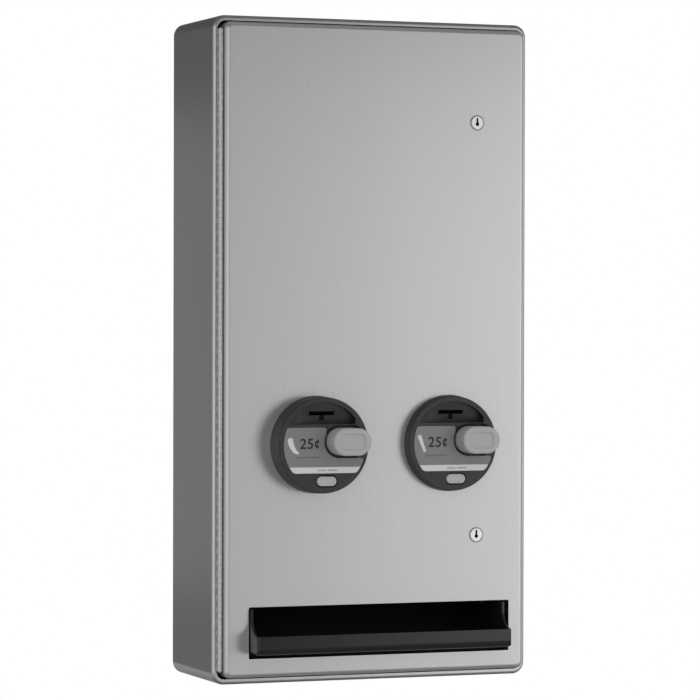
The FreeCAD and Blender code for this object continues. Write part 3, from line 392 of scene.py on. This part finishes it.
def pale_floor():
    """A plain white floor well below the cabinet, which hangs on a wall."""
    mesh = bpy.data.meshes.new("floor")
    corners = ((-1, -1), (1, -1), (1, 1), (-1, 1))
    mesh.from_pydata([(x * FLOOR_HALF, y * FLOOR_HALF, FLOOR_Z) for x, y in corners], [], [(0, 1, 2, 3)])
    floor = bpy.data.objects.new("floor", mesh)
    bpy.context.scene.collection.objects.link(floor)
    mesh.materials.append(floor_white())


def floor_white():
    """Matt white that looks nearly plain white, and that metal mirrors as a dim glow with a painted shadow
    under the cabinet.
    """
    material = bpy.data.materials.new("floor_white")
    material.use_nodes = True
    material.node_tree.nodes.clear()
    n = Nodes(material.node_tree)
    path = n.add("ShaderNodeLightPath")
    out = n.add("ShaderNodeOutputMaterial")
    matt = n.add("ShaderNodeBsdfDiffuse", Color=(FLOOR_GREY, FLOOR_GREY, FLOOR_GREY, 1.0))
    white = n.add("ShaderNodeEmission", Strength=1.0)
    mirrored = n.add("ShaderNodeEmission")
    reach = n.add("ShaderNodeVectorMath", operation="LENGTH")
    n.link(n.coordinates((1.0, 1.0, 0.0)), reach.inputs[0])
    # Painted shadow: the glow that metal mirrors is dimmer near the middle, under the cabinet
    n.link(n.spread(reach.outputs["Value"], *FLOOR_SHADOW_REACH, *FLOOR_SHADOW_GLOW), mirrored.inputs["Strength"])
    plain = n.mixed(path.outputs["Is Glossy Ray"], matt.outputs[0], mirrored.outputs[0])
    share = n.maths("MULTIPLY", path.outputs["Is Camera Ray"], FLOOR_WHITE)
    n.link(n.mixed(share, plain, white.outputs[0]), out.inputs["Surface"])
    return material


# Finishes

def new_finish(name):
    """A material with a Principled shader, and the helper for its tree."""
    material = bpy.data.materials.new(name)
    material.use_nodes = True
    tree = material.node_tree
    return material, Nodes(tree), tree.nodes["Principled BSDF"]


def over_noise(low, high):
    """Ramp stops from one colour or grey to another, over the usual part of a noise."""
    ends = [tone if isinstance(tone, tuple) else (tone,) * 3 for tone in (low, high)]
    return list(zip(NOISE_SPAN, ends))


def satin_steel(name, grey, along, metallic):
    """Stainless sheet with a fine upright grain, which turns along on the level faces."""
    material, n, shader = new_finish(name)
    upright = n.noise(n.coordinates((GRAIN_FINE, GRAIN_FINE, GRAIN_LONG)), scale=1.0, detail=4.0)
    lengthwise = (GRAIN_LONG, GRAIN_FINE) if along == "X" else (GRAIN_FINE, GRAIN_LONG)
    level = n.noise(n.coordinates((*lengthwise, GRAIN_FINE)), scale=1.0, detail=4.0)
    facing = n.split(n.add("ShaderNodeNewGeometry").outputs["Normal"])
    turned = n.add("ShaderNodeMix")
    n.link(n.spread(n.maths("ABSOLUTE", facing["Z"]), *GRAIN_TURN, 0.0, 1.0), turned.inputs[0])
    n.link(upright, turned.inputs[2])
    n.link(level, turned.inputs[3])
    grain = turned.outputs[0]
    cloud = n.noise(n.coordinates(CLOUD_STRETCH), scale=CLOUDS, detail=2.0)
    colour = n.tones(grain, over_noise(*(grey * tone for tone in GRAIN_TONES)))
    n.link(n.product(colour, n.tones(cloud, over_noise(*CLOUD_TONES))), shader.inputs["Base Color"])
    bright, dull = SATIN_ROUGH - SATIN_UNEVEN, SATIN_ROUGH + SATIN_UNEVEN
    n.link(n.spread(grain, *NOISE_SPAN, bright, dull), shader.inputs["Roughness"])
    n.link(n.bump(grain, strength=0.08, distance=GRAIN_DEPTH), shader.inputs["Normal"])
    shader.inputs["Metallic"].default_value = metallic
    shader.inputs["Anisotropic"].default_value = SATIN_ANISOTROPY
    turn = n.add("ShaderNodeTangent", direction_type="RADIAL", axis="Z")
    n.link(turn.outputs[0], shader.inputs["Tangent"])
    return material


def plain_metal(name, colour, rough, speckle=260.0, uneven=0.08):
    """Bare or plated metal with fine uneven tone and polish."""
    material, n, shader = new_finish(name)
    speck = n.noise(n.coordinates(), scale=speckle, detail=4.0)
    low = tuple(c * (1 - uneven) for c in colour)
    n.link(n.tones(speck, over_noise(low, colour)), shader.inputs["Base Color"])
    n.link(n.spread(speck, *NOISE_SPAN, *(rough * p for p in METAL_POLISH)), shader.inputs["Roughness"])
    n.link(n.bump(speck, strength=0.15, distance=METAL_DEPTH), shader.inputs["Normal"])
    shader.inputs["Metallic"].default_value = 1.0
    return material


def lock_face(name):
    """Bright plated metal with painted shade, black and not metallic, down in the keyway."""
    material, n, shader = new_finish(name)
    speck = n.noise(n.coordinates(), scale=LOCK_SPECKLE, detail=4.0)
    # Painted shade: black, not metal, between two depths of the keyway
    keyway_shade = n.between(*KEYWAY_SHADE_Y)
    blend = n.add("ShaderNodeMix", data_type="RGBA")
    n.link(keyway_shade, blend.inputs[0])
    n.link(n.tones(speck, over_noise(*LOCK_TONES)), blend.inputs[6])
    blend.inputs[7].default_value = KEYWAY_PAINTED_SHADE
    n.link(blend.outputs[2], shader.inputs["Base Color"])
    n.link(n.spread(speck, *NOISE_SPAN, *LOCK_ROUGH), shader.inputs["Roughness"])
    n.link(n.spread(keyway_shade, 0.0, 1.0, 1.0, 0.0), shader.inputs["Metallic"])
    return material


def galvanised(name):
    """Zinc coated sheet with its crystal pattern."""
    material, n, shader = new_finish(name)
    crystal = n.add("ShaderNodeTexVoronoi", Scale=ZINC_CRYSTALS)
    n.link(n.coordinates(), crystal.inputs["Vector"])
    draws = n.add("ShaderNodeSeparateColor")
    n.link(crystal.outputs["Color"], draws.inputs[0])
    n.link(n.tones(draws.outputs[0], [(0.0, ZINC_DARK), (1.0, ZINC_PALE)]), shader.inputs["Base Color"])
    n.link(n.spread(draws.outputs[1], 0.0, 1.0, *ZINC_ROUGH), shader.inputs["Roughness"])
    n.link(n.bump(draws.outputs[2], strength=0.08, distance=METAL_DEPTH), shader.inputs["Normal"])
    shader.inputs["Metallic"].default_value = 1.0
    return material


def moulded(name, grey, rough, texture, relief, uneven=0.12):
    """Moulded plastic with a fine texture and slight changes of tone."""
    material, n, shader = new_finish(name)
    pebble = n.noise(n.coordinates(), scale=texture, detail=2.0)
    cloud = n.noise(n.coordinates(), scale=PLASTIC_CLOUDS, detail=3.0)
    colour = n.tones(cloud, over_noise(grey * (1 - uneven), grey * (1 + uneven)))
    n.link(colour, shader.inputs["Base Color"])
    n.link(n.spread(pebble, *NOISE_SPAN, *(rough * p for p in PLASTIC_POLISH)), shader.inputs["Roughness"])
    n.link(n.bump(pebble, strength=relief, distance=PLASTIC_DEPTH), shader.inputs["Normal"])
    return material


def printed(name, grey):
    """Printed film with a faint speckle."""
    material, n, shader = new_finish(name)
    speck = n.noise(n.coordinates(), scale=PRINT_SPECKLE, detail=2.0)
    colour = n.tones(speck, over_noise(*(grey * tone for tone in PRINT_TONES)))
    n.link(colour, shader.inputs["Base Color"])
    bright, dull = PRINT_ROUGH - PRINT_UNEVEN, PRINT_ROUGH + PRINT_UNEVEN
    n.link(n.spread(speck, *NOISE_SPAN, bright, dull), shader.inputs["Roughness"])
    return material


def finishes():
    """Every finish by its name."""
    recipes = {
        "satin_stainless": (satin_steel, dict(grey=0.58, along="Y", metallic=0.77)),
        "wrap_stainless": (satin_steel, dict(grey=0.60, along="X", metallic=0.92)),
        "hinge_pin_steel": (plain_metal, dict(colour=(0.3, 0.3, 0.3), rough=0.45)),
        "galvanised_sheet": (galvanised, dict()),
        # Black sheet, which also stands as painted shade on the galvanised coin chutes
        "black_sheet": (moulded, dict(grey=0.012, rough=0.38, texture=500.0, relief=0.2)),
        "zinc_plated_steel": (plain_metal, dict(colour=(0.62, 0.61, 0.58), rough=0.3)),
        "spring_steel": (plain_metal, dict(colour=(0.4, 0.4, 0.41), rough=0.32)),
        "lock_chrome": (plain_metal, dict(colour=(0.42, 0.42, 0.42), rough=0.2, speckle=90.0, uneven=0.03)),
        "lock_face": (lock_face, dict()),
        "charcoal_plastic": (moulded, dict(grey=0.023, rough=0.42, texture=1400.0, relief=0.3)),
        "grey_plastic": (moulded, dict(grey=0.33, rough=0.4, texture=1400.0, relief=0.2, uneven=0.04)),
        "button_plastic": (moulded, dict(grey=0.38, rough=0.4, texture=1400.0, relief=0.2, uneven=0.04)),
        "label_print": (printed, dict(grey=0.165)),
        "black_plastic": (moulded, dict(grey=0.012, rough=0.24, texture=900.0, relief=0.12)),
        "label_light": (printed, dict(grey=0.52)),
        "label_ink": (printed, dict(grey=0.012)),
        "label_rule": (printed, dict(grey=0.115)),
        "band_rule": (printed, dict(grey=0.27)),
    }
    return {name: make(name, **settings) for name, (make, settings) in recipes.items()}


# Pieces

def final_mesh(thing):
    """The plain mesh of an object, with its modifiers applied or its characters made solid."""
    return bpy.data.meshes.new_from_object(thing.evaluated_get(bpy.context.evaluated_depsgraph_get()))


def smoothed(node, finish, body):
    """A welded copy of a node with smooth curves and crisp edges, which rides with its body, or stays in
    place with its transform baked if it is a spring.
    """
    mesh = nodes[node].data.copy()
    mesh.name = node + "_skin"
    mesh.materials.clear()
    mesh.materials.append(finish)
    solid = bmesh.new()
    solid.from_mesh(mesh)
    bmesh.ops.remove_doubles(solid, verts=solid.verts, dist=WELD)
    for face in solid.faces:
        face.smooth = True
        face.material_index = 0
    for edge in solid.edges:
        edge.smooth = edge.is_manifold and edge.calc_face_angle() < math.radians(CREASE_DEG)
    solid.to_mesh(mesh)
    solid.free()
    piece = bpy.data.objects.new(node + "_skin", mesh)
    bpy.context.scene.collection.objects.link(piece)
    weigh = piece.modifiers.new("weigh", "WEIGHTED_NORMAL")
    weigh.keep_sharp = True
    weigh.weight = 100
    skin = final_mesh(piece)
    piece.modifiers.clear()
    piece.data = skin
    if node in SPRINGS:
        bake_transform(piece)
    else:
        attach(piece, body)
    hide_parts(node)


def spring_bends():
    """The two bodies each spring gives between, and where it holds on to them, by node."""
    bends = {}
    for joint in frame["record"]["behaviour"]["joints"]:
        for entry in joint.get("deforming_nodes", []):
            points = [v.co for v in nodes[entry["node"]].data.vertices]
            if entry["mode"] == "twist_x":
                fixed = entry["fixed_end_x_m"]
                ends = (fixed, 0.0, 0.0), (fixed + TORSION_RUN, 0.0, 0.0)
            else:
                ends = (0.0, max(p.y for p in points), 0.0), (0.0, min(p.y for p in points), 0.0)
            bends[entry["node"]] = (joint["parent"], joint["child"], *ends)
    return bends


def door_print(name, mesh, finish):
    """A thin piece of print on the door out of a mesh, welded and with its faces outwards."""
    mesh.materials.clear()
    mesh.materials.append(finish)
    solid = bmesh.new()
    solid.from_mesh(mesh)
    bmesh.ops.remove_doubles(solid, verts=solid.verts, dist=PRINT_WELD)
    bmesh.ops.recalc_face_normals(solid, faces=solid.faces)
    solid.to_mesh(mesh)
    solid.free()
    piece = bpy.data.objects.new(name, mesh)
    bpy.context.scene.collection.objects.link(piece)
    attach(piece, "door")


def inked(name, outline, front, back, finish):
    """A flat piece of print from an outline of (x, z) points, facing the front."""
    count = len(outline)
    points = [(x, front, z) for x, z in outline] + [(x, back, z) for x, z in outline]
    faces = [tuple(range(count)), tuple(range(2 * count - 1, count - 1, -1))]
    faces += [(i, i + count, (i + 1) % count + count, (i + 1) % count) for i in range(count)]
    mesh = bpy.data.meshes.new(name)
    mesh.from_pydata(points, [], faces)
    door_print(name, mesh, finish)


def label_band(x):
    """The outline of the light band along the foot of a price label, inside the label's round edge."""
    r = LABEL_R - BAND_INSET
    left, right = [], []
    for i in range(BAND_STEPS + 1):
        z = BAND_TOP + (BAND_FOOT - BAND_TOP) * i / BAND_STEPS
        reach = math.sqrt(r * r - z * z)
        corner = max(0.0, 1.0 - (z - BAND_FOOT) / BAND_CORNER) ** 2
        left.append((x + LABEL_SHIFT - reach + corner * BAND_CUT_LEFT, MECH_Z + z))
        right.append((x + LABEL_SHIFT + reach - corner * BAND_CUT_RIGHT, MECH_Z + z))
    return left + right[::-1]


def stroke(points, widths):
    """The outline of a tapered stroke along points, with a width at each."""
    left, right = [], []
    for i, (x, z) in enumerate(points):
        ax, az = points[max(i - 1, 0)]
        bx, bz = points[min(i + 1, len(points) - 1)]
        run = math.hypot(bx - ax, bz - az)
        nx, nz = -(bz - az) / run, (bx - ax) / run
        half = widths[i] / 2
        left.append((x + nx * half, z + nz * half))
        right.append((x - nx * half, z - nz * half))
    return left + right[::-1]


def lettering(name, words, corner, size, front, finish):
    """Plain characters as a thin print, fitted to a size in millimetres from a lower left corner."""
    curve = bpy.data.curves.new(name, "FONT")
    curve.body = words
    curve.extrude = LETTER_HALF
    curve.offset = LETTER_BOLD
    curve.shear = LETTER_SLANT
    curve.space_character = LETTER_SPACE
    letters = bpy.data.objects.new(name, curve)
    bpy.context.scene.collection.objects.link(letters)
    mesh = final_mesh(letters)
    bpy.data.objects.remove(letters)
    xs = [v.co.x for v in mesh.vertices]
    ys = [v.co.y for v in mesh.vertices]
    across, up = size[0] * MM / (max(xs) - min(xs)), size[1] * MM / (max(ys) - min(ys))
    left, low = corner
    for v in mesh.vertices:
        v.co = Vector((left + (v.co.x - min(xs)) * across, front - v.co.z, low + (v.co.y - min(ys)) * up))
    door_print(name, mesh, finish)


def label_print(kind, finish):
    """Everything printed on one price label: band, sign, price, unit and plain rules."""
    x, face = MECHS[kind]
    label = LABELS[kind]
    surface = face + LABEL_FRONT
    front, back = surface - PRINT_OUT, surface + PRINT_IN

    def at(dx, dz):
        return x + dx * MM, LABEL_Z + dz * MM

    def bar(name, x_range, z_range, tone, lean=0.0):
        (x0, x1), (z0, z1) = x_range, z_range
        corners = [at(x0, z0), at(x1, z0), at(x1 + lean, z1), at(x0 + lean, z1)]
        inked(kind + name, corners, front - BAR_OUT, back, finish[tone])

    inked(kind + "_label_band", label_band(x), front, back, finish["label_light"])
    sign = stroke([at(*point) for point in label["path"]], [width * MM for width in label["widths"]])
    inked(kind + "_label_sign", sign, front, back, finish["label_light"])
    left, low = at(label["price_x"], PRICE_Z)
    unit_corner = (left + UNIT_STEP[0] * MM, low + UNIT_STEP[1] * MM)
    unit_bar_x = [label["price_x"] + step for step in UNIT_BAR_STEPS]
    lettering(kind + "_label_price", "25", (left, low), PRICE_SIZE, front, finish["label_ink"])
    lettering(kind + "_label_unit", "c", unit_corner, UNIT_SIZE, front, finish["label_ink"])
    bar("_label_unit_bar", unit_bar_x, UNIT_BAR_Z, "label_ink", UNIT_BAR_LEAN)
    bar("_label_rule", label["rule_x"], RULE_Z, "label_rule")
    for letter, rule_x in BAND_RULES_X.items():
        bar("_band_rule_" + letter, rule_x, BAND_RULES_Z, "band_rule")


def dress(finish):
    """Gives every node its finish, with a smooth skin on all but the plain ones."""
    body_of = {n: b for b, ns in frame["record"]["behaviour"]["bodies"].items() for n in ns}
    slot_of = {s["node"]: s["material_slot"] for s in frame["record"]["subparts"]}
    for node, body in body_of.items():
        slot = slot_of[node]
        look = finish[OWN_FINISH.get(node, slot)]
        if node in PLAIN_NODES:
            for place in nodes[node].material_slots:
                place.material = look
            if not nodes[node].material_slots:
                nodes[node].data.materials.append(look)
        else:
            smoothed(node, look, body)


photo_camera()
studio()
pale_floor()
SPRINGS = spring_bends()
FINISH = finishes()
dress(FINISH)
for mech in MECHS:
    label_print(mech, FINISH)

bpy.context.scene.view_settings.view_transform = "Standard"
